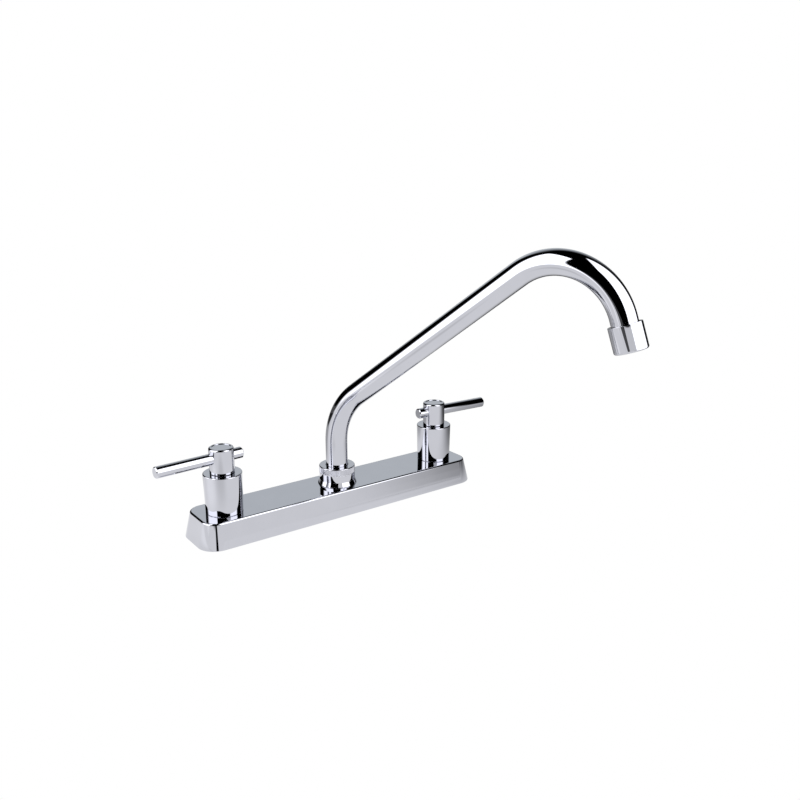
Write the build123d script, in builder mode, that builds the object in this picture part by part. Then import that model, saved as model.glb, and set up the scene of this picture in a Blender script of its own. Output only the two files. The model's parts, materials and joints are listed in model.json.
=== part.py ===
from build123d import *
import os
from math import cos, radians, sin

# A two-handle kitchen faucet: a drafted deck cover over a brass waterway, a quarter-turn
# ceramic valve under each bar lever, and a bent tube spout that swivels in a collar nut.
# The origin is the middle of the cover on the sink deck, +Z is up and -Y faces the user.
# The hot valve stands at -X and the cold valve at +X. All lengths are in millimetres.

# Layout
CENTRES = 203.2  # between the two valve axes, the 8 inch sink standard
SPOUT_SWING = 20.4  # degrees from straight ahead towards +X
LEVER_TOE = 3.5  # degrees that a closed lever leans towards the user
RUN = 0.05  # clearance of a turning fit
SEAT = 0.05  # clearance of a soldered, pressed or threaded fit
AIR = 0.3  # gap between pieces that pass without touching
OVER = 1.0  # how far a cut runs past the face that it opens
SAME = 0.01  # radii closer than this are the same rim

# Deck cover and base plate
COVER_LENGTH = 258.4
COVER_WIDTH = 51.6
COVER_HEIGHT = 20.1
COVER_CORNER_R = 15.6
COVER_DRAFT = 13.0  # degrees
COVER_EDGE_R = 1.6
COVER_WALL = 2.2
COVER_UNDER = COVER_HEIGHT - COVER_WALL
COVER_HOLE_R = 12.2
RIB_WIDTH = 1.8
RIB_DEPTH = 1.8
RIB_SPAN = 39.2
PLATE_THICKNESS = 3.0
PLATE_GAP = 0.4

# Inlet shanks, valve bodies, spout post and cross tubes
SHANK_R = 10.45  # 1/2 inch straight pipe thread over its crests
SHANK_END = -62.0
SHANK_CHAMFER = 1.2
SPIGOT_R = 8.8
SPIGOT_HEIGHT = 4.0
RELIEF_R = 9.3
RELIEF_TOP = -30.0
RELIEF_WIDTH = 2.0
INLET_R = 6.5
FLANGE_R = 17.0
FLANGE_TOP = PLATE_THICKNESS + 3.0
BODY_R = 14.5
NECK_R = 11.8
NECK_TOP = 30.0
CARTRIDGE_BORE_R = 9.5
SEAT_Z = 6.0
PORT_Z = 10.0
PORT_BOSS_R = 6.6
PORT_BOSS_ROOT = 11.5
PORT_BOSS_END = 22.0
PORT_SOCKET_DEPTH = 6.0
CROSS_TUBE_R = 4.76  # 3/8 inch copper
CROSS_BORE_R = 3.9
POST_TOP = 29.0
POST_FLOOR = 5.5
POST_CHAMBER_R = 6.0
SWIVEL_BORE_R = 9.0
SWIVEL_FLOOR = 14.0

# Valve cartridge
BARREL_R = CARTRIDGE_BORE_R - 2 * SEAT
BARREL_FOOT = SEAT_Z + 1.0
CAVITY_R = 7.6
CAVITY_TOP = 19.1
STEM_R = 4.5
HEX_FLATS = 20.0
HEX_TOP = NECK_TOP + 5.0
GLAND_R = 6.6
GLAND_TOP = 43.0
BODY_RING_Z = 22.0
BODY_RING_R = 0.9  # radius of the ring's own section
BODY_RING_PATH_R = CARTRIDGE_BORE_R - SEAT - BODY_RING_R
RING_PLAY = 0.2  # room beside a rubber ring in its groove
WINDOW_WIDTH = 7.0
WINDOW_HEIGHT = 3.4
SEAL_TOP = 8.2
SEAL_R = 7.4
FIXED_DISC_TOP = 11.7
DRIVEN_DISC_FOOT = FIXED_DISC_TOP + RUN
DRIVEN_DISC_TOP = 15.4
DISC_R = 7.3
LUG_WIDTH = 2.2
LUG_R = 8.4
SECTOR_INNER_R = 1.8
SECTOR_OUTER_R = 5.8
SECTOR_ANGLE = 80.0
POCKET_TOP = DRIVEN_DISC_FOOT + 2.2
TANG_WIDTH = 3.0
TANG_DEPTH = 1.2
STEM_FLANGE_FOOT = DRIVEN_DISC_TOP + RUN
STEM_FLANGE_TOP = 18.5
SPLINE_FOOT = 44.0
SPLINE_TOP = 57.0
SPLINE_TEETH = 20
SPLINE_ROOT_R = 3.5
SPLINE_TIP_R = 3.95
SPLINE_TOOTH = 0.55
STEM_RING_R = 0.7  # radius of the ring's own section
STEM_RING_PATH_R = STEM_R + RUN / 2 - STEM_RING_R
STEM_RING_HEIGHTS = (25.0, 29.0)

# Bonnet, handle hub, lever bar and set screw
BONNET_FOOT_R = 14.3
BONNET_TOP_R = 14.87
BONNET_TOP = COVER_HEIGHT + 31.2
BONNET_EDGE_R = 0.8
BONNET_BORE_R = NECK_R + SEAT
BONNET_ROOM_R = 12.2
BONNET_ROOF = 3.0
BONNET_HOLE_R = 8.0
HUB_R = 9.47
HUB_FOOT = BONNET_TOP + AIR
HUB_TOP = BONNET_TOP + 20.2
HUB_EDGE_R = 1.5
HUB_DISH_R = 7.3
HUB_DISH = 0.5  # depth of the hollow in the hub's top
HUB_NECK_R = BONNET_HOLE_R - AIR
HUB_NECK_FOOT = 44.6
BAR_R = 4.4
BAR_Z = BONNET_TOP + 12.1
BAR_REACH = 53.2
BAR_STUB = 17.0
BAR_CHAMFER = 0.7
SCREW_R = 2.0
SCREW_Z = 54.9
SCREW_OUTER = 8.9
SCREW_KEY_FLATS = 2.0
SCREW_KEY_DEPTH = 2.4

# Spout, its collar nut and its swivel
TUBE_R = 9.0
TUBE_BORE_R = 8.0
BEND_Z = 55.6
LOWER_BEND_R = 54.7
INCLINE = 37.5  # degrees above level
RISE_LENGTH = 173.6
UPPER_BEND_R = 47.6
UPPER_TURN = 108.85  # degrees
TIP_LENGTH = 4.0
NUT_R = 14.7
NUT_TOP = COVER_HEIGHT + 15.5
NUT_EDGE_R = 0.8
NUT_SKIRT_R = 16.15
NUT_SKIRT_EDGE = COVER_HEIGHT + 0.4
NUT_SKIRT_TOP = COVER_HEIGHT + 3.8
NUT_ROOF = 2.0
COLLAR_R = 10.8
COLLAR_FOOT = POST_TOP + 2 * RUN
COLLAR_TOP = 31.6
FRICTION_RING_R = 11.5
SPIGOT_FOOT = SWIVEL_FLOOR + 0.5
SPIGOT_TOP = 43.6
SPIGOT_WATER_R = 6.0
SPOUT_RING_R = 0.9  # radius of the ring's own section
SPOUT_RING_PATH_R = SWIVEL_BORE_R - RUN / 2 - SPOUT_RING_R
SPOUT_RING_HEIGHTS = (18.0, 23.0)

# Aerator, measured along the outlet from its upper face
AERATOR_R = 11.4
AERATOR_LENGTH = 18.0
AERATOR_FOOT_R = 1.4
AERATOR_EDGE_R = 0.3
AERATOR_BORE_R = 9.85
AERATOR_LIP_R = 8.8
AERATOR_LIP = 1.4
NIPPLE_START = 0.4
NIPPLE_END = 6.5
WASHER_END = 8.5
WASHER_HOLE_R = 6.5
INSERT_R = 9.7
INSERT_END = 15.9
INSERT_SKIN = 1.0
INSERT_RING_R = 4.6
INSERT_SPOKES = 8
SCREEN_END = AERATOR_LENGTH - AERATOR_LIP
SCREEN_PITCH = 2.3
SCREEN_HOLE = 1.5
SCREEN_ROWS = 6

# Fastening under the deck
WASHER_TOP = -12.0
WASHER_THICKNESS = 2.0
DECK_WASHER_R = 19.5
NUT_BASE_R = 19.0
NUT_BASE = 3.0
NUT_HUB_R = 14.6
NUT_HEIGHT = 12.0
WING_REACH = 22.0
WING_WIDTH = 3.6
WING_COUNT = 4

SIDES = {"hot": -1, "cold": 1}
MIDDLE = Plane.XY
VALVES = {side: Plane(origin=(sign * CENTRES / 2, 0, 0)) for side, sign in SIDES.items()}

os.makedirs("parts", exist_ok=True)


def write(piece, label):
    """Label a finished piece and write its file."""
    piece.part.label = label
    export_step(piece.part, f"parts/{label}.step")


def turn(frame, *outline, mode=Mode.ADD):
    """Turn a closed outline of (radius, height) points about the frame's own Z axis."""
    profile = Plane(origin=frame.origin, x_dir=frame.x_dir, z_dir=-frame.y_dir)
    with BuildSketch(profile) as section:
        with BuildLine():
            Polyline(*outline, close=True)
        make_face()
    revolve(section.sketch, axis=Axis(frame.origin, frame.z_dir), mode=mode)


def rims_of(piece, radius):
    """Choose the round edges of one radius."""
    rims = piece.edges().filter_by(GeomType.CIRCLE)
    return rims.filter_by(lambda edge: abs(edge.radius - radius) < SAME)


def ring(frame, height, centre_r, section_r):
    """Turn a round rubber ring about the frame's own Z axis."""
    profile = Plane(origin=frame.origin, x_dir=frame.x_dir, z_dir=-frame.y_dir)
    with BuildSketch(profile) as section:
        with Locations((centre_r, height)):
            Circle(section_r)
    revolve(section.sketch, axis=Axis(frame.origin, frame.z_dir))


def groove(frame, height, centre_r, section_r):
    """Cut the square groove that holds a rubber ring."""
    half = section_r + RING_PLAY
    bottom_r = centre_r - section_r - SEAT
    mouth_r = centre_r + section_r + OVER
    turn(
        frame,
        (bottom_r, height - half),
        (mouth_r, height - half),
        (mouth_r, height + half),
        (bottom_r, height + half),
        mode=Mode.SUBTRACT,
    )


def sector(inner_r, outer_r, middle_angle):
    """Draw one ring sector of the ceramic discs' openings."""
    start = middle_angle - SECTOR_ANGLE / 2
    with BuildLine() as border:
        outer = CenterArc((0, 0), outer_r, start, SECTOR_ANGLE)
        inner = CenterArc((0, 0), inner_r, start, SECTOR_ANGLE)
        Line(outer @ 0, inner @ 0)
        Line(outer @ 1, inner @ 1)
    make_face(border.line.edges())


def spline(gap):
    """Draw the toothed section that the stem and the hub share."""
    Circle(SPLINE_ROOT_R + gap)
    depth = SPLINE_TIP_R - SPLINE_ROOT_R
    with PolarLocations(SPLINE_ROOT_R + gap, SPLINE_TEETH):
        Rectangle(2 * depth, SPLINE_TOOTH + 2 * gap)


def side_port(frame, direction):
    """Add a boss with a tube socket that opens into the frame's axis."""
    across = Vector(direction, 0, 0)
    root = Plane(origin=frame.origin + across * PORT_BOSS_ROOT + Vector(0, 0, PORT_Z), z_dir=across)
    end = Plane(origin=frame.origin + across * PORT_BOSS_END + Vector(0, 0, PORT_Z), z_dir=-across)
    with BuildSketch(root) as boss:
        Circle(PORT_BOSS_R)
    extrude(boss.sketch, amount=PORT_BOSS_END - PORT_BOSS_ROOT)
    with BuildSketch(end) as socket:
        Circle(CROSS_TUBE_R + SEAT)
    extrude(socket.sketch, amount=PORT_SOCKET_DEPTH, mode=Mode.SUBTRACT)
    with BuildSketch(end) as passage:
        Circle(CROSS_BORE_R)
    extrude(passage.sketch, amount=PORT_BOSS_END, mode=Mode.SUBTRACT)


# Deck cover: drafted shell with a rounded top edge, three holes and two stiffening ribs
wall_across = COVER_WALL / cos(radians(COVER_DRAFT))
room_length = COVER_LENGTH - 2 * wall_across
room_width = COVER_WIDTH - 2 * wall_across
room_corner = COVER_CORNER_R - wall_across
with BuildPart() as deck_cover:
    with BuildSketch():
        RectangleRounded(COVER_LENGTH, COVER_WIDTH, COVER_CORNER_R)
    extrude(amount=COVER_HEIGHT, taper=COVER_DRAFT)
    fillet(deck_cover.edges().group_by(Axis.Z)[-1], COVER_EDGE_R)
    with BuildSketch():
        RectangleRounded(room_length, room_width, room_corner)
    extrude(amount=COVER_UNDER, taper=COVER_DRAFT, mode=Mode.SUBTRACT)
    with BuildSketch(Plane.XY.offset(COVER_UNDER)):
        with GridLocations(CENTRES / 2, 0, 2, 1):
            Rectangle(RIB_WIDTH, RIB_SPAN)
    extrude(amount=-RIB_DEPTH)
    with Locations(Plane.XY.offset(COVER_HEIGHT)):
        with GridLocations(CENTRES / 2, 0, 3, 1):
            Hole(COVER_HOLE_R)
write(deck_cover, "deck_cover")

# Base plate: fills the open underside of the cover and rests on the deck
with BuildPart() as base_plate:
    with BuildSketch():
        RectangleRounded(
            room_length - 2 * PLATE_GAP, room_width - 2 * PLATE_GAP, room_corner - PLATE_GAP
        )
    extrude(amount=PLATE_THICKNESS, taper=COVER_DRAFT)
    with Locations(Plane.XY.offset(PLATE_THICKNESS)):
        with GridLocations(CENTRES, 0, 2, 1):
            Hole(SHANK_R + AIR)
write(base_plate, "base_plate")

# Inlet shanks: brass nipples below the deck, soldered into the valve bodies by their upper ends
for side, frame in VALVES.items():
    with BuildPart() as shank:
        turn(
            frame,
            (INLET_R, SHANK_END),
            (SHANK_R - SHANK_CHAMFER, SHANK_END),
            (SHANK_R, SHANK_END + SHANK_CHAMFER),
            (SHANK_R, RELIEF_TOP - RELIEF_WIDTH),
            (RELIEF_R, RELIEF_TOP - RELIEF_WIDTH),
            (RELIEF_R, RELIEF_TOP),
            (SHANK_R, RELIEF_TOP),
            (SHANK_R, 0),
            (SPIGOT_R, 0),
            (SPIGOT_R, SPIGOT_HEIGHT - SEAT),
            (INLET_R, SPIGOT_HEIGHT - SEAT),
        )
    write(shank, f"{side}_inlet_shank")

# Valve bodies: socket for the shank, flange, cartridge bore and a port towards the spout post
for side, frame in VALVES.items():
    with BuildPart() as valve_body:
        turn(
            frame,
            (SPIGOT_R + SEAT, 0),
            (SHANK_R, 0),
            (SHANK_R, PLATE_THICKNESS),
            (FLANGE_R, PLATE_THICKNESS),
            (FLANGE_R, FLANGE_TOP),
            (BODY_R, FLANGE_TOP),
            (BODY_R, COVER_UNDER),
            (NECK_R, COVER_UNDER),
            (NECK_R, NECK_TOP),
            (CARTRIDGE_BORE_R, NECK_TOP),
            (CARTRIDGE_BORE_R, SEAT_Z),
            (INLET_R, SEAT_Z),
            (INLET_R, SPIGOT_HEIGHT),
            (SPIGOT_R + SEAT, SPIGOT_HEIGHT),
        )
        side_port(frame, -SIDES[side])
    write(valve_body, f"{side}_valve_body")

# Spout post: mixing chamber between the cross tubes, with the swivel bore above it
with BuildPart() as spout_post:
    turn(
        MIDDLE,
        (0, PLATE_THICKNESS),
        (BODY_R, PLATE_THICKNESS),
        (BODY_R, COVER_UNDER),
        (NECK_R, COVER_UNDER),
        (NECK_R, POST_TOP),
        (SWIVEL_BORE_R, POST_TOP),
        (SWIVEL_BORE_R, SWIVEL_FLOOR),
        (POST_CHAMBER_R, SWIVEL_FLOOR),
        (POST_CHAMBER_R, POST_FLOOR),
        (0, POST_FLOOR),
    )
    for direction in SIDES.values():
        side_port(MIDDLE, direction)
write(spout_post, "spout_post")

# Cross tubes: copper, soldered into the sockets of the post and the valve bodies
tube_start = PORT_BOSS_END - PORT_SOCKET_DEPTH
tube_length = CENTRES / 2 - 2 * tube_start
for side, sign in SIDES.items():
    with BuildPart() as cross_tube:
        with BuildSketch(Plane(origin=(sign * tube_start, 0, PORT_Z), z_dir=(sign, 0, 0))):
            Circle(CROSS_TUBE_R)
            Circle(CROSS_BORE_R, mode=Mode.SUBTRACT)
        extrude(amount=tube_length)
    write(cross_tube, f"{side}_cross_tube")

# Valve cartridges: housing, seat seal, two ceramic discs, stem and rubber rings
for side, frame in VALVES.items():
    with BuildPart() as housing:
        turn(
            frame,
            (CAVITY_R, BARREL_FOOT),
            (BARREL_R, BARREL_FOOT),
            (BARREL_R, NECK_TOP),
            (GLAND_R, NECK_TOP),
            (GLAND_R, GLAND_TOP),
            (STEM_R + RUN, GLAND_TOP),
            (STEM_R + RUN, CAVITY_TOP),
            (CAVITY_R, CAVITY_TOP),
        )
        with BuildSketch(frame.offset(NECK_TOP)):
            RegularPolygon(HEX_FLATS / 2, 6, major_radius=False)
            Circle(GLAND_R, mode=Mode.SUBTRACT)
        extrude(amount=HEX_TOP - NECK_TOP)
        groove(frame, BODY_RING_Z, BODY_RING_PATH_R, BODY_RING_R)
        window_z = (DRIVEN_DISC_FOOT + POCKET_TOP) / 2
        with BuildSketch(Plane(origin=frame.origin + Vector(0, 0, window_z), z_dir=(1, 0, 0))):
            Rectangle(WINDOW_WIDTH, WINDOW_HEIGHT)
        extrude(amount=BARREL_R + OVER, both=True, mode=Mode.SUBTRACT)
        with BuildSketch(frame.offset(BARREL_FOOT)):
            Rectangle(LUG_WIDTH + 2 * AIR, 2 * (LUG_R + AIR))
        extrude(amount=FIXED_DISC_TOP - BARREL_FOOT, mode=Mode.SUBTRACT)
    write(housing, f"{side}_cartridge_housing")

    with BuildPart() as body_ring:
        ring(frame, BODY_RING_Z, BODY_RING_PATH_R, BODY_RING_R)
    write(body_ring, f"{side}_cartridge_ring")

    with BuildPart() as seat_seal:
        with BuildSketch(frame.offset(SEAT_Z)):
            Circle(SEAL_R)
            Circle(INLET_R, mode=Mode.SUBTRACT)
        extrude(amount=SEAL_TOP - SEAT_Z)
    write(seat_seal, f"{side}_seat_seal")

    with BuildPart() as fixed_disc:
        with BuildSketch(frame.offset(SEAL_TOP)):
            Circle(DISC_R)
            Rectangle(LUG_WIDTH, 2 * LUG_R)
        extrude(amount=FIXED_DISC_TOP - SEAL_TOP)
        for middle_angle in (0, 180):
            with BuildSketch(frame.offset(SEAL_TOP)) as opening:
                sector(SECTOR_INNER_R, SECTOR_OUTER_R, middle_angle)
            extrude(opening.sketch, amount=FIXED_DISC_TOP - SEAL_TOP, mode=Mode.SUBTRACT)
    write(fixed_disc, f"{side}_fixed_disc")

    with BuildPart() as driven_disc:
        with BuildSketch(frame.offset(DRIVEN_DISC_FOOT)):
            Circle(DISC_R)
        extrude(amount=DRIVEN_DISC_TOP - DRIVEN_DISC_FOOT)
        for middle_angle in (90, 270):
            with BuildSketch(frame.offset(DRIVEN_DISC_FOOT)) as pocket:
                sector(SECTOR_INNER_R, DISC_R + OVER, middle_angle)
            extrude(pocket.sketch, amount=POCKET_TOP - DRIVEN_DISC_FOOT, mode=Mode.SUBTRACT)
        with BuildSketch(frame.offset(DRIVEN_DISC_TOP)):
            Rectangle(2 * (DISC_R + OVER), TANG_WIDTH)
        extrude(amount=-TANG_DEPTH, mode=Mode.SUBTRACT)
    write(driven_disc, f"{side}_driven_disc")

    with BuildPart() as stem:
        turn(
            frame,
            (0, STEM_FLANGE_FOOT),
            (DISC_R, STEM_FLANGE_FOOT),
            (DISC_R, STEM_FLANGE_TOP),
            (STEM_R, STEM_FLANGE_TOP),
            (STEM_R, SPLINE_FOOT),
            (0, SPLINE_FOOT),
        )
        for height in STEM_RING_HEIGHTS:
            groove(frame, height, STEM_RING_PATH_R, STEM_RING_R)
        with BuildSketch(frame.offset(STEM_FLANGE_FOOT)):
            Rectangle(2 * (DISC_R - OVER), TANG_WIDTH - 2 * SEAT)
        extrude(amount=SEAT - TANG_DEPTH)
        with BuildSketch(frame.offset(SPLINE_FOOT)):
            spline(0)
        extrude(amount=SPLINE_TOP - SPLINE_FOOT)
    write(stem, f"{side}_stem")

    with BuildPart() as stem_rings:
        for height in STEM_RING_HEIGHTS:
            ring(frame, height, STEM_RING_PATH_R, STEM_RING_R)
    write(stem_rings, f"{side}_stem_rings")

    with BuildPart() as thrust_washer:
        with BuildSketch(frame.offset(STEM_FLANGE_TOP + RUN)):
            Circle(DISC_R)
            Circle(STEM_R + 2 * RUN, mode=Mode.SUBTRACT)
        extrude(amount=CAVITY_TOP - STEM_FLANGE_TOP - 2 * RUN)
    write(thrust_washer, f"{side}_thrust_washer")

# Bonnets: slightly flared sleeves that screw over the body necks and clamp the cover
for side, frame in VALVES.items():
    with BuildPart() as bonnet:
        turn(
            frame,
            (BONNET_BORE_R, COVER_HEIGHT),
            (BONNET_FOOT_R, COVER_HEIGHT),
            (BONNET_TOP_R, BONNET_TOP),
            (BONNET_HOLE_R, BONNET_TOP),
            (BONNET_HOLE_R, BONNET_TOP - BONNET_ROOF),
            (BONNET_ROOM_R, BONNET_TOP - BONNET_ROOF),
            (BONNET_ROOM_R, NECK_TOP),
            (BONNET_BORE_R, NECK_TOP),
        )
        fillet(rims_of(bonnet, BONNET_TOP_R), BONNET_EDGE_R)
    write(bonnet, f"{side}_bonnet")

# Handles: dished hub on the stem, a straight bar lever through it and a set screw at the back
for side, frame in VALVES.items():
    sign = SIDES[side]
    toe = radians(LEVER_TOE)
    outward = Vector(sign * cos(toe), -sin(toe), 0)
    backward = Vector(sign * sin(toe), cos(toe), 0)
    bar_centre = frame.origin + Vector(0, 0, BAR_Z)
    screw_centre = frame.origin + Vector(0, 0, SCREW_Z)

    with BuildPart() as hub:
        turn(
            frame,
            (0, HUB_NECK_FOOT),
            (HUB_NECK_R, HUB_NECK_FOOT),
            (HUB_NECK_R, HUB_FOOT),
            (HUB_R, HUB_FOOT),
            (HUB_R, HUB_TOP),
            (HUB_DISH_R, HUB_TOP),
            (HUB_DISH_R, HUB_TOP - HUB_DISH),
            (0, HUB_TOP - HUB_DISH),
        )
        fillet(rims_of(hub, HUB_R).sort_by(Axis.Z)[-1], HUB_EDGE_R)
        with BuildSketch(frame.offset(HUB_NECK_FOOT)):
            spline(2 * SEAT)
        extrude(amount=SPLINE_TOP + AIR - HUB_NECK_FOOT, mode=Mode.SUBTRACT)
        with BuildSketch(Plane(origin=bar_centre, z_dir=outward)):
            Circle(BAR_R + SEAT / 2)
        extrude(amount=HUB_R + OVER, both=True, mode=Mode.SUBTRACT)
        with BuildSketch(Plane(origin=screw_centre, z_dir=backward)):
            Circle(SCREW_R + SEAT)
        extrude(amount=HUB_R + OVER, mode=Mode.SUBTRACT)
    write(hub, f"{side}_handle_hub")

    with BuildPart() as bar:
        with BuildSketch(Plane(origin=bar_centre - outward * BAR_STUB, z_dir=outward)):
            Circle(BAR_R)
        extrude(amount=BAR_STUB + BAR_REACH)
        chamfer(bar.edges().filter_by(GeomType.CIRCLE), BAR_CHAMFER)
    write(bar, f"{side}_lever_bar")

    with BuildPart() as screw:
        screw_inner = SPLINE_TIP_R + SEAT
        with BuildSketch(Plane(origin=screw_centre + backward * screw_inner, z_dir=backward)):
            Circle(SCREW_R)
        extrude(amount=SCREW_OUTER - screw_inner)
        with BuildSketch(Plane(origin=screw_centre + backward * SCREW_OUTER, z_dir=backward)):
            RegularPolygon(SCREW_KEY_FLATS / 2, 6, major_radius=False)
        extrude(amount=-SCREW_KEY_DEPTH, mode=Mode.SUBTRACT)
    write(screw, f"{side}_set_screw")

# Spout nut: collar with a sloped skirt, screwed on the post over the spout's own collar
with BuildPart() as spout_nut:
    turn(
        MIDDLE,
        (BONNET_BORE_R, COVER_HEIGHT),
        (NUT_SKIRT_R, COVER_HEIGHT),
        (NUT_SKIRT_R, NUT_SKIRT_EDGE),
        (NUT_R, NUT_SKIRT_TOP),
        (NUT_R, NUT_TOP),
        (TUBE_R + AIR, NUT_TOP),
        (TUBE_R + AIR, NUT_TOP - NUT_ROOF),
        (BONNET_BORE_R, NUT_TOP - NUT_ROOF),
    )
    fillet(rims_of(spout_nut, NUT_R).sort_by(Axis.Z)[-1], NUT_EDGE_R)
write(spout_nut, "spout_nut")

# Friction ring: plastic washer that the nut holds against the spout's collar
with BuildPart() as friction_ring:
    with BuildSketch(Plane.XY.offset(COLLAR_TOP + 2 * RUN)):
        Circle(FRICTION_RING_R)
        Circle(TUBE_R + AIR, mode=Mode.SUBTRACT)
    extrude(amount=NUT_TOP - NUT_ROOF - COLLAR_TOP - 2 * RUN)
write(friction_ring, "spout_friction_ring")

# Spout spigot: soldered in the foot of the tube, it turns in the post on two rubber rings
with BuildPart() as spigot:
    turn(
        MIDDLE,
        (SPIGOT_WATER_R, SPIGOT_FOOT),
        (SWIVEL_BORE_R - RUN, SPIGOT_FOOT),
        (SWIVEL_BORE_R - RUN, COLLAR_FOOT),
        (COLLAR_R, COLLAR_FOOT),
        (COLLAR_R, COLLAR_TOP),
        (TUBE_BORE_R - SEAT, COLLAR_TOP),
        (TUBE_BORE_R - SEAT, SPIGOT_TOP),
        (SPIGOT_WATER_R, SPIGOT_TOP),
    )
    for height in SPOUT_RING_HEIGHTS:
        groove(MIDDLE, height, SPOUT_RING_PATH_R, SPOUT_RING_R)
write(spigot, "spout_spigot")

with BuildPart() as spout_rings:
    for height in SPOUT_RING_HEIGHTS:
        ring(MIDDLE, height, SPOUT_RING_PATH_R, SPOUT_RING_R)
write(spout_rings, "spout_rings")

# Spout tube: upright foot, lower bend, straight rise, upper bend and a short tip
swing = radians(SPOUT_SWING)
ahead = Vector(sin(swing), -cos(swing), 0)
spout_plane = Plane(origin=(0, 0, 0), x_dir=ahead, z_dir=ahead.cross(Vector(0, 0, 1)))
with BuildPart() as spout_tube:
    with BuildLine(spout_plane):
        foot = Line((0, COLLAR_TOP), (0, BEND_Z))
        lower_bend = JernArc(foot @ 1, foot % 1, LOWER_BEND_R, INCLINE - 90)
        rise = Line(lower_bend @ 1, lower_bend @ 1 + (lower_bend % 1) * RISE_LENGTH)
        upper_bend = JernArc(rise @ 1, rise % 1, UPPER_BEND_R, -UPPER_TURN)
        tip = Line(upper_bend @ 1, upper_bend @ 1 + (upper_bend % 1) * (TIP_LENGTH + NIPPLE_END))
    with BuildSketch(Plane.XY.offset(COLLAR_TOP)):
        Circle(TUBE_R)
        Circle(TUBE_BORE_R, mode=Mode.SUBTRACT)
    sweep()
write(spout_tube, "spout_tube")

# Aerator: threaded nipple on the tube, housing, washer, straightener insert and screen
outlet = Plane(origin=tip @ 1 - (tip % 1) * NIPPLE_END, x_dir=spout_plane.z_dir, z_dir=tip % 1)
with BuildPart() as nipple:
    with BuildSketch(outlet.offset(NIPPLE_START)):
        Circle(AERATOR_BORE_R - SEAT)
        Circle(TUBE_R + SEAT, mode=Mode.SUBTRACT)
    extrude(amount=NIPPLE_END - NIPPLE_START)
write(nipple, "outlet_nipple")

with BuildPart() as aerator_housing:
    turn(
        outlet,
        (AERATOR_BORE_R, 0),
        (AERATOR_R, 0),
        (AERATOR_R, AERATOR_LENGTH),
        (AERATOR_LIP_R, AERATOR_LENGTH),
        (AERATOR_LIP_R, SCREEN_END),
        (AERATOR_BORE_R, SCREEN_END),
    )
    along = Axis(outlet.origin, outlet.z_dir)
    foot_rim = rims_of(aerator_housing, AERATOR_R).sort_by(along)[-1]
    fillet(foot_rim, AERATOR_FOOT_R)
    top_rim = rims_of(aerator_housing, AERATOR_R).sort_by(along)[0]
    fillet(top_rim, AERATOR_EDGE_R)
write(aerator_housing, "aerator_housing")

with BuildPart() as aerator_washer:
    with BuildSketch(outlet.offset(NIPPLE_END)):
        Circle(INSERT_R)
        Circle(WASHER_HOLE_R, mode=Mode.SUBTRACT)
    extrude(amount=WASHER_END - NIPPLE_END)
write(aerator_washer, "aerator_washer")

with BuildPart() as aerator_insert:
    with BuildSketch(outlet.offset(WASHER_END)):
        Circle(INSERT_R)
        Circle(INSERT_R - INSERT_SKIN, mode=Mode.SUBTRACT)
        Circle(INSERT_RING_R + INSERT_SKIN / 2)
        Circle(INSERT_RING_R - INSERT_SKIN / 2, mode=Mode.SUBTRACT)
        with PolarLocations(INSERT_R / 2, INSERT_SPOKES):
            Rectangle(INSERT_R - INSERT_SKIN / 2, INSERT_SKIN)
    extrude(amount=INSERT_END - WASHER_END)
write(aerator_insert, "aerator_insert")

with BuildPart() as aerator_screen:
    with BuildSketch(outlet.offset(INSERT_END)):
        Circle(INSERT_R)
        with GridLocations(SCREEN_PITCH, SCREEN_PITCH, SCREEN_ROWS, SCREEN_ROWS):
            Rectangle(SCREEN_HOLE, SCREEN_HOLE, mode=Mode.SUBTRACT)
    extrude(amount=SCREEN_END - INSERT_END)
write(aerator_screen, "aerator_screen")

# Fastening: a flat washer and a winged nut on each shank, under the deck
with BuildPart() as mounting_washers:
    with BuildSketch(Plane.XY.offset(WASHER_TOP)):
        with GridLocations(CENTRES, 0, 2, 1):
            Circle(DECK_WASHER_R)
            Circle(SHANK_R + AIR, mode=Mode.SUBTRACT)
    extrude(amount=-WASHER_THICKNESS)
write(mounting_washers, "mounting_washers")

with BuildPart() as mounting_nuts:
    for frame in VALVES.values():
        nut_face = frame.offset(WASHER_TOP - WASHER_THICKNESS)
        with BuildSketch(nut_face):
            Circle(NUT_BASE_R)
        extrude(amount=-NUT_BASE)
        with BuildSketch(nut_face):
            Circle(NUT_HUB_R)
            with PolarLocations(WING_REACH / 2, WING_COUNT, start_angle=45):
                Rectangle(WING_REACH, WING_WIDTH)
        extrude(amount=-NUT_HEIGHT)
        with BuildSketch(nut_face):
            Circle(SHANK_R + SEAT)
        extrude(amount=-NUT_HEIGHT, mode=Mode.SUBTRACT)
write(mounting_nuts, "mounting_nuts")
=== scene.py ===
import json
from math import cos, pi, radians, sin, tan

import bmesh
import bpy
from mathutils import Matrix, Vector


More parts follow.
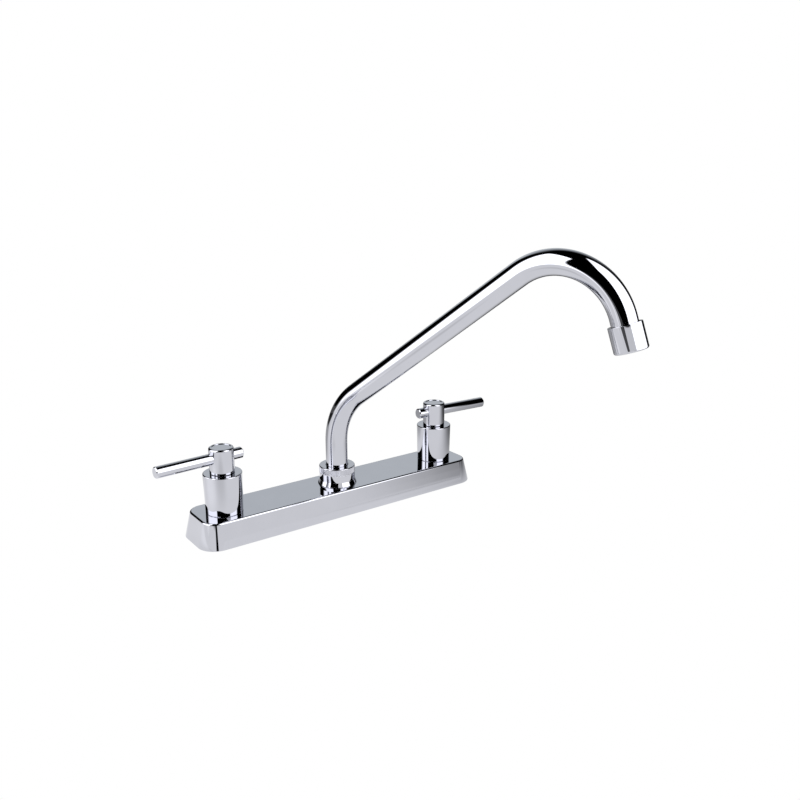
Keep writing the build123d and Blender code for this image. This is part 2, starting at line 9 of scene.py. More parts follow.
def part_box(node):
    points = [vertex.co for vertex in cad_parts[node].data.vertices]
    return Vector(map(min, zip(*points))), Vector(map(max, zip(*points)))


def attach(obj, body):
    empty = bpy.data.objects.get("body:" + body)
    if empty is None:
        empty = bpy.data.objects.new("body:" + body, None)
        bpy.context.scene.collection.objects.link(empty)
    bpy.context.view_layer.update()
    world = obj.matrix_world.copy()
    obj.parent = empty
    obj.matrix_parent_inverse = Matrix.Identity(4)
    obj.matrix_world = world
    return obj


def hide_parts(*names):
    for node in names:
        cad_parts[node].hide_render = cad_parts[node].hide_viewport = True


# The looks of a chrome two-handle kitchen faucet. Lengths are in metres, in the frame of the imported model:
# the origin is the middle of the cover on the deck, +Z is up and -Y faces the user.
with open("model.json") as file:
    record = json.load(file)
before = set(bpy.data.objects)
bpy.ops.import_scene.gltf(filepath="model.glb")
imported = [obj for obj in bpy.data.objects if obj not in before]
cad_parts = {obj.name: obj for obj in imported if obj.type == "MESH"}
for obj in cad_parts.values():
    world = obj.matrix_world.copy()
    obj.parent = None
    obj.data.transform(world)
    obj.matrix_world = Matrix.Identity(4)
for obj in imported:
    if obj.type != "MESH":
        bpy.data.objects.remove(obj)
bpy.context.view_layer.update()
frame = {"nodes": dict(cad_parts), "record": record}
scene = bpy.context.scene

# Camera, at the photograph's viewing angle
CAMERA_PLACE = (-0.3506, -0.5698, 0.2834)
CAMERA_YAW = -36.08  # degrees
CAMERA_DOWN = 16.12  # degrees
CAMERA_LENS = 38.55  # millimetres
SENSOR = 36.0  # millimetres

# Mesh fineness
AROUND = 192  # stations in a full turn
ARC_STEPS = 8  # steps in a rounded corner
BEND_STEP = radians(2.0)
SHARP_ANGLE = radians(30.0)
OVER = 0.001  # how far a cut runs past the face that it opens
CAP_SHARE = 0.5  # radius of the one face that closes a flat end, as a share of that end's radius

# Deck cover
_, COVER_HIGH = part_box("deck_cover")
COVER_TOP = COVER_HIGH.z
COVER_CORNER_R = 0.0156
COVER_DRAFT = radians(13.0)
COVER_EDGE_R = 0.0016
COVER_RIM_R = 0.0003
COVER_WALL = 0.0022
COVER_HOLE_R = 0.0122
RIB_WIDTH = 0.0018
RIB_DEPTH = 0.0018
RIB_SPAN = 0.0392

# Bonnets, handle hubs and lever bars
STEM_LOW, STEM_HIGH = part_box("cold_stem")
VALVE_OUT = (STEM_LOW.x + STEM_HIGH.x) / 2
VALVE_X = {"hot": -VALVE_OUT, "cold": VALVE_OUT}
BONNET_LOW, BONNET_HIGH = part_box("cold_bonnet")
BONNET_FOOT_R = 0.0143
BONNET_TOP_R = 0.01487
BONNET_EDGE_R = 0.0008
BONNET_FOOT_EDGE_R = 0.0006
MOUTH_R = 0.0003  # rounding of the edge round a hole
SLEEVE_BORE_R = 0.01185  # bore of the bonnets and of the spout nut
BONNET_ROOM_R = 0.0122
BONNET_ROOM_FOOT = 0.030
BONNET_ROOF = 0.003
BONNET_HOLE_R = 0.008
HUB_LOW, HUB_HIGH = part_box("cold_handle_hub")
HUB_R = 0.00947
HUB_GAP = 0.0003
HUB_EDGE_R = 0.0015
HUB_FOOT_R = 0.0003
HUB_DISH_R = 0.0073
HUB_DISH = 0.0005
HUB_DISH_EDGE_R = 0.0003
HUB_NECK_R = 0.0077
HUB_BORE_R = 0.0041
HUB_BORE_TOP = 0.0573
BAR_R = 0.0044
BAR_Z = 0.0634
BAR_REACH = 0.0532
BAR_STUB = 0.017
BAR_CHAMFER = 0.0007
BAR_PLAY = 0.000025
LEVER_TOE = radians(3.5)
SCREW_HOLE_R = 0.00205
SCREW_Z = 0.0549

# Spout, its nut and its outlet
SPOUT_SWING = radians(20.4)
TUBE_R = 0.009
TUBE_BORE_R = 0.008
TUBE_FOOT = 0.0316
BEND_Z = 0.0556
LOWER_BEND_R = 0.0547
INCLINE = radians(37.5)
RISE_LENGTH = 0.1736
UPPER_BEND_R = 0.0476
UPPER_TURN = radians(108.85)
TIP_LENGTH = 0.004
NIPPLE_LENGTH = 0.0065
NUT_LOW, NUT_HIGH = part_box("spout_nut")
NUT_R = 0.0147
NUT_EDGE_R = 0.0008
NUT_SKIRT_R = 0.01615
NUT_SKIRT = 0.0038
NUT_SKIRT_EDGE_R = 0.0004
NUT_WAIST_R = 0.0002  # rounding where the neck meets the skirt
NUT_ROOF = 0.002
NUT_HOLE_R = 0.0093
KNURL_TEETH = 80
KNURL_STEPS = 8  # stations on a tooth
KNURL_DEPTH = 0.0003
KNURL_HEIGHT = 0.0048
KNURL_LEAD = 0.0003  # height over which the grooves run out
AERATOR_R = 0.0114
AERATOR_LENGTH = 0.018
AERATOR_FOOT_R = 0.0014
AERATOR_EDGE_R = 0.0003
AERATOR_BORE_R = 0.00985
AERATOR_LIP_R = 0.0088
AERATOR_LIP = 0.0014

# Inlet shanks
SHANK_LOW, SHANK_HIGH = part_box("cold_inlet_shank")
SHANK_R = 0.01045
SHANK_CHAMFER = 0.0012
SPIGOT_R = 0.0088
INLET_R = 0.0065
THREAD_PITCH = 0.001814  # 14 turns to the inch
THREAD_DEPTH = 0.0011
THREAD_ROWS = 6  # rows of faces in one turn's height
THREAD_LEAD = 0.004  # height over which the thread runs out
RELIEF_TOP = -0.030  # top of the plain groove round the thread
RELIEF_WIDTH = 0.002

# Finishes: the sizes of what shows in each surface, how high it stands, and the lowest and highest roughness
NOISE_LOW = 0.3  # most of a noise lies between these two values
NOISE_HIGH = 0.7
CHROME_COLOURS = ((0.545, 0.552, 0.60), (0.56, 0.566, 0.615))
CHROME_ROUGHNESS = (0.015, 0.035)
FILM_SIZE = 0.012
RIPPLE_SIZE = 0.007
RIPPLE_HEIGHT = 0.000002
METAL_ROUGHNESS = (0.22, 0.38)
PATCH_SIZE = 0.006
MARK_SIZE = 0.0004
MARK_HEIGHT = 0.00001
CLOUD_SIZE = 0.008
GRAIN_SIZE = 0.0003

# Bare metals: dark and light colour, and the scale of the tool marks along X, Y and Z. A small scale draws
# the marks out that way.
METALS = {
    "brass": ((0.58, 0.41, 0.17), (0.70, 0.53, 0.25), (0.05, 0.05, 1)),
    "copper": ((0.60, 0.30, 0.19), (0.74, 0.42, 0.29), (0.05, 1, 1)),
    "steel": ((0.50, 0.50, 0.52), (0.62, 0.62, 0.64), (1, 0.05, 0.05)),
}

# Moulded finishes: dark and light colour, lowest and highest roughness, and the height of the grain
MOULDINGS = {
    "ceramic": ((0.84, 0.83, 0.79), (0.90, 0.89, 0.86), (0.10, 0.18), 0.000001),
    "rubber": ((0.012, 0.012, 0.013), (0.03, 0.03, 0.031), (0.50, 0.65), 0.00001),
    "black_plastic": ((0.018, 0.018, 0.02), (0.03, 0.03, 0.033), (0.40, 0.52), 0.00001),
    "white_plastic": ((0.76, 0.76, 0.73), (0.82, 0.82, 0.80), (0.35, 0.45), 0.000005),
}

# Studio panels: the place of each one's middle, its azimuth from +Y towards +X, its tilt and roll in degrees,
# its half width and half height, and its soft edges at the left, right, foot and top as the object sees them
WHITE = (1.0, 1.0, 1.0)
COOL = (0.95, 1.0, 1.03)
PANELS = {
    "left_box": dict(
        centre=(-0.453, 0.042, 0.5395),
        azimuth=-55,
        tilt=6,
        half=(0.3125, 0.56),
        edges=(0.03, 0.12, 0.12, 0.10),
        glow=2.6,
    ),
    "right_box": dict(
        centre=(0.105, -0.373, 0.371),
        azimuth=138.5,
        tilt=16.7,
        half=(0.219, 0.35),
        edges=(0.06, 0.04, 0.05, 0.06),
        glow=2.6,
    ),
    "back_card": dict(
        centre=(2.23, 1.90, 1.24),
        azimuth=28.4,
        tilt=24.4,
        half=(2.24, 2.5),
        edges=(0.53, 2.5, 2.5, 2.5),
        glow=0.71,
        colour=COOL,
    ),
    "front_card": dict(
        centre=(0.1605, -0.4592, 0.0),
        azimuth=173.45,
        half=(0.4425, 0.06),
        edges=(0.40, 0.012, 0.01, 0.02),
        glow=1.0,
    ),
    "side_card": dict(
        centre=(-0.825, -0.4746, 0.0),
        azimuth=-120,
        half=(0.49, 0.06),
        edges=(0.08, 0.02, 0.01, 0.02),
        glow=1.03,
    ),
    "fill_card": dict(
        centre=(-0.037, -0.5225, 0.1796),
        azimuth=-141,
        roll=-15.65,
        half=(0.2025, 0.0517),
        edges=(0.16, 0.01, 0.02, 0.002),
        glow=0.9,
    ),
}

# Glowing floor with painted light: a painted pool of light that fades into a dim floor, with patches of
# painted shadow in it. Each has a middle, a reach and the radius of an even core. A patch takes away a share
# of the glow as painted shadow, or adds to it as a painted bright spot where the share is negative.
FLOOR_HALF = 4.0
FLOOR_GLOW = 0.1
FLOOR_PAINTED_POOL_GLOW = 1.03
FLOOR_PAINTED_POOL = ((-0.3, -0.2), 1.0, 0.45)
FLOOR_PAINTED_SHADE_AND_LIGHT = (
    ((0.44, 0.06), 0.41, 0.14, 0.9),
    ((-0.25, 0.55), 0.32, 0.2, 0.95),
    ((-0.02, 0.32), 0.25, 0.18, 0.5),
    ((-0.185, -0.115), 0.09, 0.02, 0.18),
    ((-0.22, 0.02), 0.09, 0.02, -0.19),
)

# Surroundings: a faint glow for the reflections, and a pale backdrop for the camera
SURROUND_GLOW = 0.005
DOME_R = 6.5
BACKDROP_GREY = 0.6
BACKDROP_GREY_AT = -2.2  # distances ahead of the model's middle, as the camera looks
BACKDROP_WHITE_AT = -0.4


# Mesh helpers
def rounded(outline):
    """Give each (u, v, rounding) corner of an outline its arc; a rounding of 0 keeps the corner sharp."""
    points = []
    for i, (u, v, rounding) in enumerate(outline):
        corner = Vector((u, v))
        if rounding == 0:
            points.append(corner)
            continue
        back = (Vector(outline[i - 1][:2]) - corner).normalized()
        ahead = (Vector(outline[(i + 1) % len(outline)][:2]) - corner).normalized()
        half = back.angle(ahead) / 2
        centre = corner + (back + ahead).normalized() * rounding / sin(half)
        start = (corner + back * rounding / tan(half) - centre).normalized()
        end = (corner + ahead * rounding / tan(half) - centre).normalized()
        for step in range(ARC_STEPS + 1):
            points.append(centre + start.slerp(end, step / ARC_STEPS) * rounding)
    return points


def as_object(name, work):
    """Turn a finished bmesh into an object of the scene."""
    bmesh.ops.recalc_face_normals(work, faces=work.faces)
    mesh = bpy.data.meshes.new(name)
    work.to_mesh(mesh)
    work.free()
    made = bpy.data.objects.new(name, mesh)
    scene.collection.objects.link(made)
    return made


def ring_mesh(name, outline, stations, place, closed):
    """Carry an outline round a ring of stations. An open outline is closed by a flat cap at each end."""
    work = bmesh.new()
    rows = [[work.verts.new(place(station, u, v)) for u, v in outline] for station in stations]
    spans = range(len(outline) if closed else len(outline) - 1)
    for i, row in enumerate(rows):
        after = rows[(i + 1) % len(rows)]
        for j in spans:
            k = (j + 1) % len(outline)
            work.faces.new((row[j], after[j], after[k], row[k]))
    if not closed:
        for j in (0, -1):
            work.faces.new([row[j] for row in rows])
    return as_object(name, work)


def full_turn(count=AROUND):
    """The angles of evenly spaced stations in a full turn."""
    return [2 * pi * i / count for i in range(count)]


def turned(name, base, outline, closed=True):
    """Turn an outline of (radius, height, rounding) corners about the base matrix's Z axis."""

    def place(angle, r, h):
        return base @ Vector((r * cos(angle), r * sin(angle), h))

    return ring_mesh(name, rounded(outline), full_turn(), place, closed)


def rod(base, radius, start, end):
    """A plain round rod along the base matrix's Z axis, to cut with."""
    return turned("rod", base, [(radius, start, 0), (radius, end, 0)], closed=False)


def block(low, high):
    """A plain block between two corners, to join or cut with."""
    work = bmesh.new()
    bmesh.ops.create_cube(work, size=1.0)
    middle = (Vector(low) + Vector(high)) / 2
    size = Vector(high) - Vector(low)
    bmesh.ops.transform(work, matrix=Matrix.LocRotScale(middle, None, size), verts=work.verts)
    return as_object("block", work)


def combine(piece, other, operation):
    """Cut or join another mesh into a piece, and delete the other mesh."""
    modifier = piece.modifiers.new("combine", "BOOLEAN")
    modifier.operation = operation
    modifier.solver = "EXACT"
    modifier.object = other
    depsgraph = bpy.context.evaluated_depsgraph_get()
    mesh = bpy.data.meshes.new_from_object(piece.evaluated_get(depsgraph))
    piece.modifiers.remove(modifier)
    piece.data = mesh
    bpy.data.objects.remove(other)


def dress(piece, slot, body, node):
    """Shade a finished piece smoothly, give it its finish and let it ride in place of its CAD node."""
    mesh = piece.data
    mesh.polygons.foreach_set("use_smooth", [True] * len(mesh.polygons))
    mesh.set_sharp_from_angle(angle=SHARP_ANGLE)
    weighted = piece.modifiers.new("weighted_normals", "WEIGHTED_NORMAL")
    weighted.keep_sharp = True
    mesh.materials.clear()
    mesh.materials.append(FINISHES[slot])
    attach(piece, body)
    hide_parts(node)


def along(origin, direction):
    """A matrix at an origin whose Z axis points along a direction."""
    turn = Vector(direction).to_track_quat("Z", "Y").to_matrix().to_4x4()
    return Matrix.Translation(origin) @ turn


def upright(x):
    """A matrix on the deck in the model's middle plane, Z up."""
    return Matrix.Translation((x, 0, 0))


# Material helpers
def new_material(name, metallic=0.0):
    """A material with its node tree and its surface shader."""
    material = bpy.data.materials.new(name)
    material.use_nodes = True
    shader = material.node_tree.nodes["Principled BSDF"]
    shader.inputs["Metallic"].default_value = metallic
    return material, material.node_tree, shader


def noise(tree, size, detail, stretch=(1, 1, 1)):
    """Cloudy noise with blotches of about the given size, fixed to the piece."""
    place = tree.nodes.new("ShaderNodeTexCoord")
    mapping = tree.nodes.new("ShaderNodeMapping")
    mapping.inputs["Scale"].default_value = stretch
    cloud = tree.nodes.new("ShaderNodeTexNoise")
    cloud.inputs["Scale"].default_value = 1 / size
    cloud.inputs["Detail"].default_value = detail
    tree.links.new(place.outputs["Object"], mapping.inputs["Vector"])
    tree.links.new(mapping.outputs["Vector"], cloud.inputs["Vector"])
    return cloud.outputs["Fac"]


def between(tree, factor, low, high, socket):
    """Drive a number socket from low to high by a noise."""
    spread = tree.nodes.new("ShaderNodeMapRange")
    spread.inputs["From Min"].default_value = NOISE_LOW
    spread.inputs["From Max"].default_value = NOISE_HIGH
    spread.inputs["To Min"].default_value = low
    spread.inputs["To Max"].default_value = high
    tree.links.new(factor, spread.inputs["Value"])
    tree.links.new(spread.outputs["Result"], socket)


def tint(tree, factor, dark, light, socket):
    """Drive a colour socket from dark to light by a noise."""
    ramp = tree.nodes.new("ShaderNodeValToRGB")
    ramp.color_ramp.elements[0].position = NOISE_LOW
    ramp.color_ramp.elements[0].color = (*dark, 1)
    ramp.color_ramp.elements[1].position = NOISE_HIGH
    ramp.color_ramp.elements[1].color = (*light, 1)
    tree.links.new(factor, ramp.inputs["Fac"])
    tree.links.new(ramp.outputs["Color"], socket)


def relief(tree, shader, height, depth):
    """Let a noise raise the surface by up to a depth."""
    bump = tree.nodes.new("ShaderNodeBump")
    bump.inputs["Distance"].default_value = depth
    tree.links.new(height, bump.inputs["Height"])
    tree.links.new(bump.outputs["Normal"], shader.inputs["Normal"])


# Materials
def chrome():
    """Polished plate: a mirror with a thin uneven film and a faint ripple from the polishing wheel."""
    material, tree, shader = new_material("chrome", metallic=1.0)
    film = noise(tree, FILM_SIZE, detail=4.0)
    tint(tree, film, *CHROME_COLOURS, shader.inputs["Base Color"])
    between(tree, film, *CHROME_ROUGHNESS, shader.inputs["Roughness"])
    relief(tree, shader, noise(tree, RIPPLE_SIZE, detail=1.0), RIPPLE_HEIGHT)
    return material


def lathe_metal(name, dark, light, stretch):
    """Bare metal with dull patches and fine tool marks."""
    material, tree, shader = new_material(name, metallic=1.0)
    patches = noise(tree, PATCH_SIZE, detail=4.0)
    tint(tree, patches, dark, light, shader.inputs["Base Color"])
    between(tree, patches, *METAL_ROUGHNESS, shader.inputs["Roughness"])
    relief(tree, shader, noise(tree, MARK_SIZE, detail=2.0, stretch=stretch), MARK_HEIGHT)
    return material


def moulded(name, dark, light, roughness, grain_height):
    """Moulded plastic, rubber or ceramic: faint clouding, uneven gloss and a fine grained skin."""
    material, tree, shader = new_material(name)
    clouds = noise(tree, CLOUD_SIZE, detail=3.0)
    tint(tree, clouds, dark, light, shader.inputs["Base Color"])
    between(tree, clouds, *roughness, shader.inputs["Roughness"])
    relief(tree, shader, noise(tree, GRAIN_SIZE, detail=2.0), grain_height)
    return material


FINISHES = {"chrome": chrome()}
for name, look in METALS.items():
    FINISHES[name] = lathe_metal(name, *look)
for name, look in MOULDINGS.items():
    FINISHES[name] = moulded(name, *look)


# Deck cover
def make_cover():
    wall_across = COVER_WALL / cos(COVER_DRAFT)
    top_r = COVER_CORNER_R - COVER_TOP * tan(COVER_DRAFT)
    inner_r = COVER_CORNER_R - wall_across
    roof = COVER_TOP - COVER_WALL
    outline = [
        (CAP_SHARE * top_r, COVER_TOP, 0),
        (top_r, COVER_TOP, COVER_EDGE_R),
        (COVER_CORNER_R, 0, COVER_RIM_R),
        (inner_r, 0, COVER_RIM_R),
        (inner_r - roof * tan(COVER_DRAFT), roof, 0),
        (CAP_SHARE * top_r, roof, 0),
    ]
    half_x = COVER_HIGH.x - COVER_CORNER_R
    half_y = COVER_HIGH.y - COVER_CORNER_R
    corners = [(half_x, half_y), (-half_x, half_y), (-half_x, -half_y), (half_x, -half_y)]
    quarter = AROUND // 4
    stations = []
    for number, corner in enumerate(corners):
        for step in range(quarter + 1):
            stations.append((corner, (number + step / quarter) * pi / 2))

    def place(station, r, h):
        (x, y), angle = station
        return Vector((x + r * cos(angle), y + r * sin(angle), h))

    cover = ring_mesh("cover_shell", rounded(outline), stations, place, closed=False)
    for x in (-VALVE_OUT, 0.0, VALVE_OUT):
        combine(cover, rod(upright(x), COVER_HOLE_R, roof - OVER, COVER_TOP + OVER), "DIFFERENCE")
    for x in (-VALVE_OUT / 2, VALVE_OUT / 2):
        low = (x - RIB_WIDTH / 2, -RIB_SPAN / 2, roof - RIB_DEPTH)
        high = (x + RIB_WIDTH / 2, RIB_SPAN / 2, roof + COVER_WALL / 2)
        combine(cover, block(low, high), "UNION")
    dress(cover, "chrome", "base", "deck_cover")


make_cover()


# Bonnets and handles
def make_bonnet(side, x):
    outline = [
        (SLEEVE_BORE_R, BONNET_LOW.z, 0),
        (BONNET_FOOT_R, BONNET_LOW.z, BONNET_FOOT_EDGE_R),
        (BONNET_TOP_R, BONNET_HIGH.z, BONNET_EDGE_R),
        (BONNET_HOLE_R, BONNET_HIGH.z, MOUTH_R),
        (BONNET_HOLE_R, BONNET_HIGH.z - BONNET_ROOF, 0),
        (BONNET_ROOM_R, BONNET_HIGH.z - BONNET_ROOF, 0),
        (BONNET_ROOM_R, BONNET_ROOM_FOOT, 0),
        (SLEEVE_BORE_R, BONNET_ROOM_FOOT, 0),
    ]
    bonnet = turned(f"{side}_bonnet_sleeve", upright(x), outline)
    dress(bonnet, "chrome", "base", f"{side}_bonnet")


def make_hub(side, x, outward, backward):
    foot = BONNET_HIGH.z + HUB_GAP
    outline = [
        (CAP_SHARE * HUB_DISH_R, HUB_HIGH.z - HUB_DISH, 0),
        (HUB_DISH_R, HUB_HIGH.z - HUB_DISH, 0),
        (HUB_DISH_R, HUB_HIGH.z, HUB_DISH_EDGE_R),
        (HUB_R, HUB_HIGH.z, HUB_EDGE_R),
        (HUB_R, foot, HUB_FOOT_R),
        (HUB_NECK_R, foot, 0),
        (HUB_NECK_R, HUB_LOW.z, 0),
        (HUB_BORE_R, HUB_LOW.z, 0),
        (HUB_BORE_R, HUB_BORE_TOP, 0),
        (CAP_SHARE * HUB_BORE_R, HUB_BORE_TOP, 0),
    ]
    hub = turned(f"{side}_hub", upright(x), outline, closed=False)
    bar_hole = rod(along((x, 0, BAR_Z), outward), BAR_R + BAR_PLAY, -HUB_R - OVER, HUB_R + OVER)
    combine(hub, bar_hole, "DIFFERENCE")
    screw_hole = rod(along((x, 0, SCREW_Z), backward), SCREW_HOLE_R, 0, HUB_R + OVER)
    combine(hub, screw_hole, "DIFFERENCE")
    dress(hub, "chrome", f"{side}_handle", f"{side}_handle_hub")


def make_bar(side, x, outward):
    outline = [
        (CAP_SHARE * BAR_R, -BAR_STUB, 0),
        (BAR_R - BAR_CHAMFER, -BAR_STUB, 0),
        (BAR_R, BAR_CHAMFER - BAR_STUB, 0),
        (BAR_R, BAR_REACH - BAR_CHAMFER, 0),
        (BAR_R - BAR_CHAMFER, BAR_REACH, 0),
        (CAP_SHARE * BAR_R, BAR_REACH, 0),
    ]
    bar = turned(f"{side}_bar", along((x, 0, BAR_Z), outward), outline, closed=False)
    dress(bar, "chrome", f"{side}_handle", f"{side}_lever_bar")


def make_valve_top(side, x):
    """A bonnet and its handle, whose bar toes in towards the user by a small angle."""
    sign = 1 if x > 0 else -1
    outward = Vector((sign * cos(LEVER_TOE), -sin(LEVER_TOE), 0))
    backward = Vector((sign * sin(LEVER_TOE), cos(LEVER_TOE), 0))
    make_bonnet(side, x)
    make_hub(side, x, outward, backward)
    make_bar(side, x, outward)


for side, valve_x in VALVE_X.items():
    make_valve_top(side, valve_x)


# Spout nut: a sloped skirt, a plain neck and a band of fine straight knurling under the polished rim
def make_nut():
    knurl_top = NUT_HIGH.z - NUT_EDGE_R
    knurl_foot = knurl_top - KNURL_HEIGHT
    outline = [
        (SLEEVE_BORE_R, NUT_LOW.z, 0),
        (NUT_SKIRT_R, NUT_LOW.z, NUT_SKIRT_EDGE_R),
        (NUT_R, NUT_LOW.z + NUT_SKIRT, NUT_WAIST_R),
        (NUT_R, knurl_foot - KNURL_LEAD, 0),
        (NUT_R, knurl_foot, 0),
        (NUT_R, knurl_foot + KNURL_LEAD, 0),
        (NUT_R, knurl_top - KNURL_LEAD, 0),
        (NUT_R, NUT_HIGH.z, NUT_EDGE_R),
        (NUT_HOLE_R, NUT_HIGH.z, MOUTH_R),
        (NUT_HOLE_R, NUT_HIGH.z - NUT_ROOF, 0),
        (SLEEVE_BORE_R, NUT_HIGH.z - NUT_ROOF, 0),
    ]
    stations = full_turn(KNURL_TEETH * KNURL_STEPS)

    def place(angle, r, h):
        if knurl_foot < h < knurl_top and r > NUT_R - NUT_EDGE_R:
            r -= KNURL_DEPTH * (1 - cos(KNURL_TEETH * angle)) / 2
        return Vector((r * cos(angle), r * sin(angle), h))

    nut = ring_mesh("spout_collar", rounded(outline), stations, place, closed=True)
    dress(nut, "chrome", "base", "spout_nut")


make_nut()


# Spout tube
def spout_path():
    """Matrices along the tube's middle line, Z forwards and X towards the inner side of the bends."""
    ahead = Vector((sin(SPOUT_SWING), -cos(SPOUT_SWING), 0))
    side = ahead.cross(Vector((0, 0, 1)))
    base = Matrix((ahead, -side, (0, 0, 1))).transposed().to_4x4()
    path = [Matrix.Translation((0, 0, TUBE_FOOT)) @ base]
    runs = (
        (BEND_Z - TUBE_FOOT, 0, 0),
        (0, LOWER_BEND_R, pi / 2 - INCLINE),
        (RISE_LENGTH, 0, 0),
        (0, UPPER_BEND_R, UPPER_TURN),
        (TIP_LENGTH + NIPPLE_LENGTH, 0, 0),
    )
    for length, radius, turn in runs:
        if turn == 0:
            path.append(path[-1] @ Matrix.Translation((0, 0, length)))
            continue
        start = path[-1]
        steps = round(turn / BEND_STEP)
        for step in range(1, steps + 1):
            swing = Matrix.Rotation(turn * step / steps, 4, "Y")
            centre = Matrix.Translation((radius, 0, 0))
            path.append(start @ centre @ swing @ centre.inverted())
    return path


PATH = spout_path()


def make_spout():
    outline = [(TUBE_R, i) for i in range(len(PATH))]
    outline += [(TUBE_BORE_R, i) for i in reversed(range(len(PATH)))]

    def place(angle, r, i):
        return PATH[i] @ Vector((r * cos(angle), r * sin(angle), 0))

    tube = ring_mesh("spout_pipe", outline, full_turn(), place, closed=True)
    dress(tube, "chrome", "spout", "spout_tube")


def make_aerator():
    outlet = PATH[-1] @ Matrix.Translation((0, 0, -NIPPLE_LENGTH))
    screen_end = AERATOR_LENGTH - AERATOR_LIP
    outline = [
        (AERATOR_BORE_R, 0, 0),
        (AERATOR_R, 0, AERATOR_EDGE_R),
        (AERATOR_R, AERATOR_LENGTH, AERATOR_FOOT_R),
        (AERATOR_LIP_R, AERATOR_LENGTH, MOUTH_R),
        (AERATOR_LIP_R, screen_end, 0),
        (AERATOR_BORE_R, screen_end, 0),
    ]
    housing = turned("aerator_sleeve", outlet, outline)
    dress(housing, "chrome", "spout", "aerator_housing")


make_spout()
make_aerator()


# Inlet shanks: the thread winds up the outside in fine rows and runs out below the cover
def make_shank(side, x):
    thread_foot = SHANK_LOW.z + SHANK_CHAMFER
    rows = round(-thread_foot / THREAD_PITCH * THREAD_ROWS)
    outline = [(INLET_R, SHANK_LOW.z), (SHANK_R - SHANK_CHAMFER, SHANK_LOW.z)]
    outline += [(SHANK_R, thread_foot * (1 - i / rows)) for i in range(rows + 1)]
    outline += [(SPIGOT_R, 0), (SPIGOT_R, SHANK_HIGH.z), (INLET_R, SHANK_HIGH.z)]
    stations = full_turn(AROUND // 2)

    def place(angle, r, h):
        if r == SHANK_R:
            turns = h / THREAD_PITCH - angle / (2 * pi)
            wave = (1 - cos(2 * pi * turns)) / 2
            share = min(1, -h / THREAD_LEAD)
            if RELIEF_TOP - RELIEF_WIDTH < h < RELIEF_TOP:
                wave = 1
            r -= THREAD_DEPTH * wave * share
        return Vector((x + r * cos(angle), r * sin(angle), h))

    shank = ring_mesh(f"{side}_nipple", outline, stations, place, closed=True)
    dress(shank, "brass", "base", f"{side}_inlet_shank")


for side, valve_x in VALVE_X.items():
    make_shank(side, valve_x)

# The other pieces keep their CAD shape and take their finish from the record's slots
for part in frame["record"]["subparts"]:
    node = frame["nodes"][part["node"]]
    for slot in node.material_slots:
        slot.material = FINISHES[part["material_slot"]]


# Stage, light and camera
def sheet(name, half_x, half_y, material):
    """A flat rectangle of the stage, in its own XY plane."""
    mesh = bpy.data.meshes.new(name)
    corners = [(-half_x, -half_y, 0), (half_x, -half_y, 0), (half_x, half_y, 0), (-half_x, half_y, 0)]
    mesh.from_pydata(corners, [], [(0, 1, 2, 3)])
    mesh.materials.append(material)
    made = bpy.data.objects.new(name, mesh)
    scene.collection.objects.link(made)
    return made


def only_for_camera(thing):
    """Keep a piece of the stage out of the reflections and the light on the object."""
    for rays in ("diffuse", "glossy", "transmission", "shadow"):
        setattr(thing, f"visible_{rays}", False)


def glowing(name):
    """A stage material that only glows, with its node tree and its emission shader."""
    material, tree, shader = new_material(name)
    tree.nodes.remove(shader)
    glow = tree.nodes.new("ShaderNodeEmission")
    tree.links.new(glow.outputs["Emission"], tree.nodes["Material Output"].inputs["Surface"])
    return material, tree, glow


def calculate(tree, operation, *values):
    """One step of arithmetic on numbers or sockets."""
    step = tree.nodes.new("ShaderNodeMath")
    step.operation = operation
    for socket, value in zip(step.inputs, values):
        if isinstance(value, bpy.types.NodeSocket):
            tree.links.new(value, socket)
        else:
            socket.default_value = value
    return step.outputs["Value"]


def fade(tree, value, none_at, full_at):
    """A smooth step from 0 to 1 as a socket's value goes from one limit to the other."""
    step = tree.nodes.new("ShaderNodeMapRange")
    step.interpolation_type = "SMOOTHSTEP"
    step.inputs["From Min"].default_value = none_at
    step.inputs["From Max"].default_value = full_at
    tree.links.new(value, step.inputs["Value"])
    return step.outputs["Result"]


def soft_edges(tree, half, edges):
    """The share of a panel that shows, from 1 in the middle to 0 at its left, right, foot and top."""
    place = tree.nodes.new("ShaderNodeTexCoord")
    parts = tree.nodes.new("ShaderNodeSeparateXYZ")
    tree.links.new(place.outputs["Object"], parts.inputs["Vector"])
    half_x, half_y = half
    left, right, foot, top = edges
    limits = (
        ("X", -half_x, left - half_x),
        ("X", half_x, half_x - right),
        ("Y", -half_y, foot - half_y),
        ("Y", half_y, half_y - top),
    )
    share = 1.0
    for axis, none_at, full_at in limits:
        share = calculate(tree, "MULTIPLY", share, fade(tree, parts.outputs[axis], none_at, full_at))
    return share


def make_panel(name, centre, azimuth, half, edges, glow, tilt=0, roll=0, colour=WHITE):
    """A soft light or a card that the object mirrors and the camera doesn't see."""
    material, tree, emission = glowing(name)
    emission.inputs["Color"].default_value = (*colour, 1)
    emission.inputs["Strength"].default_value = glow
    mix = tree.nodes.new("ShaderNodeMixShader")
    clear = tree.nodes.new("ShaderNodeBsdfTransparent")
    tree.links.new(soft_edges(tree, half, edges), mix.inputs["Fac"])
    tree.links.new(clear.outputs["BSDF"], mix.inputs[1])
    tree.links.new(emission.outputs["Emission"], mix.inputs[2])
    tree.links.new(mix.outputs["Shader"], tree.nodes["Material Output"].inputs["Surface"])
    panel = sheet(name, *half, material)
    stand = Matrix.Rotation(radians(90 + tilt), 4, "X") @ Matrix.Rotation(radians(roll), 4, "Z")
    panel.matrix_world = Matrix.Translation(centre) @ Matrix.Rotation(radians(-azimuth), 4, "Z") @ stand
    panel.visible_camera = False


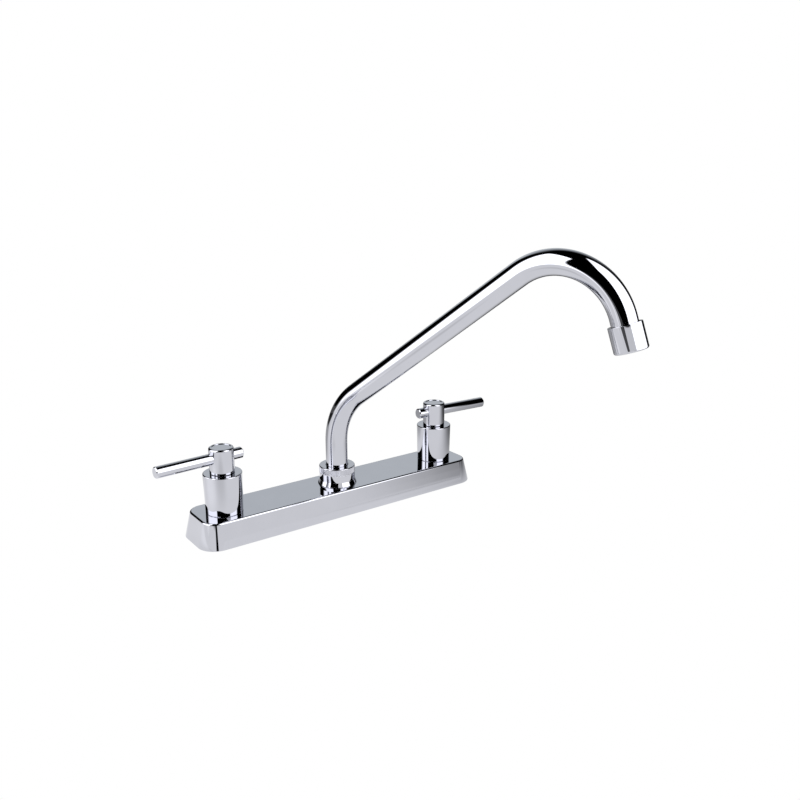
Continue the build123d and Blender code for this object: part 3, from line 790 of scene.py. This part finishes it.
def backdrop(name):
    """White ahead of the camera and pale grey behind it, so that bright edges show from every side."""
    material, tree, emission = glowing(name)
    place = tree.nodes.new("ShaderNodeTexCoord")
    ahead = tree.nodes.new("ShaderNodeVectorMath")
    ahead.operation = "DOT_PRODUCT"
    ahead.inputs[1].default_value = (-sin(radians(CAMERA_YAW)), cos(radians(CAMERA_YAW)), 0)
    tree.links.new(place.outputs["Object"], ahead.inputs[0])
    share = fade(tree, ahead.outputs["Value"], BACKDROP_GREY_AT, BACKDROP_WHITE_AT)
    rise = calculate(tree, "MULTIPLY", share, 1 - BACKDROP_GREY)
    tree.links.new(calculate(tree, "ADD", rise, BACKDROP_GREY), emission.inputs["Strength"])
    return material


def make_floor():
    """A pale floor for the camera, and in its place a glowing one with a painted pool of light and painted
    shadows, which the object mirrors.
    """
    only_for_camera(sheet("floor", FLOOR_HALF, FLOOR_HALF, backdrop("pale_floor")))
    painted_light_material, tree, emission = glowing("painted_light_floor")
    place = tree.nodes.new("ShaderNodeTexCoord")

    def near(centre, reach, core):
        distance = tree.nodes.new("ShaderNodeVectorMath")
        distance.operation = "DISTANCE"
        distance.inputs[1].default_value = (*centre, 0)
        tree.links.new(place.outputs["Object"], distance.inputs[0])
        return fade(tree, distance.outputs["Value"], reach, core)

    # The bright spot is a painted pool of light on the glowing floor.
    gain = calculate(tree, "MULTIPLY", near(*FLOOR_PAINTED_POOL), FLOOR_PAINTED_POOL_GLOW - FLOOR_GLOW)
    glow = calculate(tree, "ADD", gain, FLOOR_GLOW)
    # Each patch is a painted shadow on the floor; a negative share paints a bright spot instead.
    for middle, reach, core, share in FLOOR_PAINTED_SHADE_AND_LIGHT:
        loss = calculate(tree, "MULTIPLY", near(middle, reach, core), -share)
        glow = calculate(tree, "MULTIPLY", glow, calculate(tree, "ADD", loss, 1.0))
    tree.links.new(glow, emission.inputs["Strength"])
    sheet("painted_light_floor", FLOOR_HALF, FLOOR_HALF, painted_light_material).visible_camera = False


def make_surround():
    """A dark studio in the reflections, behind a pale dome that only the camera sees."""
    world = bpy.data.worlds.new("studio")
    scene.world = world
    world.use_nodes = True
    world.node_tree.nodes["Background"].inputs["Strength"].default_value = SURROUND_GLOW
    work = bmesh.new()
    bmesh.ops.create_icosphere(work, subdivisions=3, radius=DOME_R)
    dome = as_object("dome", work)
    dome.data.materials.append(backdrop("pale_dome"))
    only_for_camera(dome)


def make_camera():
    data = bpy.data.cameras.new("camera")
    data.sensor_width = SENSOR
    data.lens = CAMERA_LENS
    camera = bpy.data.objects.new("camera", data)
    camera.location = CAMERA_PLACE
    camera.rotation_euler = (radians(90 - CAMERA_DOWN), 0, radians(CAMERA_YAW))
    scene.collection.objects.link(camera)
    scene.camera = camera


make_floor()
make_surround()
for name, panel in PANELS.items():
    make_panel(name, **panel)
make_camera()
scene.view_settings.view_transform = "Standard"
